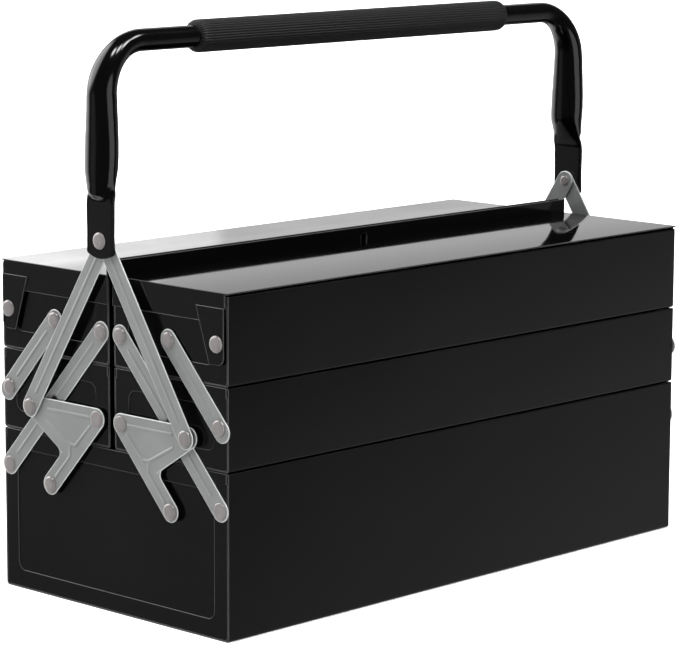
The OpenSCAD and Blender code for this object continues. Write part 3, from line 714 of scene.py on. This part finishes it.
def leg_shape(z):
    """Half width and shift of the leg at a height, in metres."""
    height = z / MM
    for (z0, w0, s0), (z1, w1, s1) in zip(LEG_SHAPE, LEG_SHAPE[1:]):
        if height <= z1:
            t = ease(height, z0, z1)
            return (w0 + (w1 - w0) * t) * MM, (s0 + (s1 - s0) * t) * MM
    return LEG_SHAPE[-1][1] * MM, 0.0


def leg_ring(z):
    """Ring round the leg of the right end at a height, flat below the crease and tubular above."""
    half_width, shift = leg_shape(z)
    foot = z - STRAP_FOOT
    if foot < STRAP_ARC:
        edge_2 = STRAP_ARC ** 2 - (STRAP_ARC - foot) ** 2
        half_width = min(half_width, math.sqrt(max(edge_2, TIP_HALF ** 2)))
    open_mid = ease(z, *SECTION_OPENS)
    power = 2 / (STRIP_POWER + (ELLIPSE_POWER - STRIP_POWER) * open_mid)
    ring = []
    for k in range(TUBE_SIDES):
        angle = 2 * math.pi * k / TUBE_SIDES
        c, s = math.cos(angle), math.sin(angle)
        across = math.copysign(abs(s) ** power, s)
        deep = math.copysign(abs(c) ** power, c)
        y = half_width * across
        if c >= 0:
            crease = CREASE_LOW + (CREASE_SIDES - CREASE_LOW) * across ** 2
            opened = ease(z, crease, crease + CREASE_RISE)
        else:
            opened = ease(z, *INNER_OPENS)
        half = STRAP_HALF + (LEG_DEPTH - STRAP_HALF) * opened
        middle = STRAP_X - (STRAP_X - LEG_X) * (opened * abs(deep) + open_mid * (1 - abs(deep)))
        ring.append(Vector((middle + half * deep, y + shift, z)))
    return ring


def bend_ring(angle):
    """Ring of the bend, from 0 at the leg to a quarter turn at the top bar."""
    round_now = math.sin(angle) ** 2
    width = BEND_WIDTH + (BAR_RADIUS - BEND_WIDTH) * round_now
    depth = LEG_DEPTH + (BAR_RADIUS - LEG_DEPTH) * round_now
    outward = Vector((math.cos(angle), 0, math.sin(angle)))
    middle = Vector((LEG_X - BEND_RADIUS, 0, BAR_Z - BEND_RADIUS)) + outward * BEND_RADIUS
    ring = []
    for k in range(TUBE_SIDES):
        turn = 2 * math.pi * k / TUBE_SIDES
        c, s = math.cos(turn), math.sin(turn)
        ring.append(middle + outward * c * depth + Vector((0, s * width, 0)))
    return ring


def bend_handle():
    """Bent tube with flattened, creased ends, in one sweep from end to end."""
    leg_top = BAR_Z - BEND_RADIUS
    heights = [STRAP_FOOT + h * MM for h in STRAP_STATIONS_MM]
    heights += [z * MM for z in range(LEG_FOOT_MM, int(leg_top / MM))] + [leg_top]
    rings = [leg_ring(z) for z in heights]
    rings += [bend_ring(math.radians(a)) for a in range(BEND_STEP_DEGREES, 91, BEND_STEP_DEGREES)]
    rings.append([Vector((GRIP_HALF - BAR_OVERLAP, p.y, p.z)) for p in rings[-1]])
    rings += [[Vector((-p.x, p.y, p.z)) for p in ring] for ring in reversed(rings)]
    work = bmesh.new()
    loops = [[work.verts.new(p) for p in ring] for ring in rings]
    for low, high in zip(loops, loops[1:]):
        for k in range(TUBE_SIDES):
            work.faces.new((low[k], low[k - 1], high[k - 1], high[k]))
    work.faces.new(loops[0])
    work.faces.new(loops[-1])
    bmesh.ops.recalc_face_normals(work, faces=work.faces)
    finished(work, "bent_handle", "handle_tube", TUBE_CREASE)


set_rivets()
for node in tray_nodes + lid_nodes:
    pressed_sheet(node)
for node in link_nodes:
    pressed_link(node)
sleeve_grip()
bend_handle()

# ---- studio ------------------------------------------------------------------------------------


def heading(azimuth, elevation):
    """Direction from its angle about Z, from +X towards +Y, and its angle above the horizon."""
    turn, lift = math.radians(azimuth), math.radians(elevation)
    return (math.cos(turn) * math.cos(lift), math.sin(turn) * math.cos(lift), math.sin(lift))


def sky_card(tree, direction, toward, full, out, strength):
    """White card of the studio: full brightness within one angle of its middle, gone past another."""
    near = add(tree, "ShaderNodeVectorMath", {"operation": "DOT_PRODUCT"}, {
        0: direction, 1: heading(*toward)})
    return add(tree, "ShaderNodeMapRange", {"interpolation_type": "SMOOTHSTEP"}, {
        "Value": near.outputs["Value"], "From Min": math.cos(math.radians(out)),
        "From Max": math.cos(math.radians(full)), "To Min": 0.0, "To Max": strength}).outputs[0]


# Cards round the box, each as its azimuth and elevation, the angle from its middle that it fills,
# the angle where it ends, and its brightness
SKY_CARDS = (
    # What the long face and what the end mirror
    ((-20, -20), 8, 34, 0.34),
    ((137, -10), 9, 13, 0.19),
    # Streak down the handle's legs
    ((-105, -5), 25, 31, 1.3),
    # Flanks of the beads, rims and upper edges
    ((64, -8), 12, 20, 0.8),
    ((92, -8), 10, 24, 1.6),
    ((105, 28), 18, 32, 3.5),
    # Lower edges
    ((78, -46), 18, 34, 1.0),
    # White streak along the handle's bends
    ((-150, 72), 4, 9, 18.0),
    ((-90, 64), 4, 9, 18.0),
    ((-62, 52), 4, 9, 18.0),
    ((-42, 47), 3, 8, 14.0),
    # Faint sheen of the back
    ((45, -25), 30, 70, 0.12),
)
ROOM_LEVEL = 0.055
# Card that the lids mirror: brighter by a step to the left of one upright edge, and brighter
# higher up, where the enamel mirrors less
LID_CARD = ((43.8, 12), 20, 32, 0.62)
LID_CARD_EDGE = 46.6
LID_CARD_STEP = 0.62
# Half width of the step's blur, as the sine of an angle
LID_CARD_BLUR = 0.003
# Sines of the heights between which the card grows brighter, and how many times
LID_CARD_LIFT = (0.13, 0.21, 1.3)


def studio_sky():
    """Dim room with white cards, which the gloss enamel mirrors."""
    world = bpy.data.worlds.new("studio")
    world.use_nodes = True
    tree = world.node_tree
    tree.nodes.clear()
    direction = add(tree, "ShaderNodeTexCoord").outputs["Generated"]
    side = add(tree, "ShaderNodeVectorMath", {"operation": "DOT_PRODUCT"}, {
        0: direction, 1: heading(LID_CARD_EDGE + 90, 0)})
    step = add(tree, "ShaderNodeMapRange", {"interpolation_type": "SMOOTHSTEP"}, {
        "Value": side.outputs["Value"], "From Min": -LID_CARD_BLUR, "From Max": LID_CARD_BLUR,
        "To Min": 1.0, "To Max": 1.0 + LID_CARD_STEP})
    height = add(tree, "ShaderNodeSeparateXYZ", links={"Vector": direction}).outputs["Z"]
    low, high, times = LID_CARD_LIFT
    lift = add(tree, "ShaderNodeMapRange", links={
        "Value": height, "From Min": low, "From Max": high, "To Min": 1.0, "To Max": times})
    bright = add(tree, "ShaderNodeMath", {"operation": "MULTIPLY"}, {
        0: step.outputs[0], 1: lift.outputs[0]})
    total = add(tree, "ShaderNodeMath", {"operation": "MULTIPLY_ADD"}, {
        0: sky_card(tree, direction, *LID_CARD), 1: bright.outputs[0], 2: ROOM_LEVEL}).outputs[0]
    for card in SKY_CARDS:
        total = add(tree, "ShaderNodeMath", {"operation": "ADD"}, {
            0: total, 1: sky_card(tree, direction, *card)}).outputs[0]
    seen = add(tree, "ShaderNodeLightPath").outputs["Is Camera Ray"]
    room = add(tree, "ShaderNodeBackground", links={"Color": total})
    paper = add(tree, "ShaderNodeBackground", links={"Color": (1, 1, 1, 1)})
    either = add(tree, "ShaderNodeMixShader", links={0: seen, 1: room.outputs[0], 2: paper.outputs[0]})
    add(tree, "ShaderNodeOutputWorld", links={"Surface": either.outputs[0]})
    scene.world = world


# Half width of the floor, in metres, and how far it lies below the box
FLOOR_HALF = 8
FLOOR_DROP = 0.2 * MM
# Light that the white paper of the floor gives off, which keeps the shadows on it pale
FLOOR_GLOW = 0.35


def pale_floor():
    material, tree = new_tree("white_paper_floor")
    shader = add(tree, "ShaderNodeBsdfPrincipled", links={
        "Base Color": colour("f8f8f8"), "Roughness": 0.9,
        "Emission Color": (1, 1, 1, 1), "Emission Strength": FLOOR_GLOW})
    add(tree, "ShaderNodeOutputMaterial", links={"Surface": shader.outputs["BSDF"]})
    mesh = bpy.data.meshes.new("floor")
    corners = [(x * FLOOR_HALF, y * FLOOR_HALF, 0) for x, y in ((-1, -1), (1, -1), (1, 1), (-1, 1))]
    mesh.from_pydata(corners, [], [(0, 1, 2, 3)])
    mesh.materials.append(material)
    floor = bpy.data.objects.new("floor", mesh)
    floor.location.z = -FLOOR_DROP
    # The enamel mirrors the dim room below the horizon, not the floor
    floor.visible_glossy = False
    scene.collection.objects.link(floor)


def soft_sun(name, toward, width, power):
    """Sun of a given width in degrees, for light that is even all the way to the horizon."""
    data = bpy.data.lights.new(name, "SUN")
    data.angle = math.radians(width)
    data.energy = power
    lamp = bpy.data.objects.new(name, data)
    lamp.rotation_euler = Vector(heading(*toward)).to_track_quat("Z", "Y").to_euler()
    # Mirrored by nothing, so that only the cards show in the enamel
    lamp.visible_glossy = False
    scene.collection.objects.link(lamp)


studio_sky()
pale_floor()
soft_sun("overhead", (135, 67), width=70, power=2.9)
soft_sun("key", (112, 14), width=14, power=0.55)
scene.view_settings.view_transform = "Standard"
scene.view_settings.look = "None"
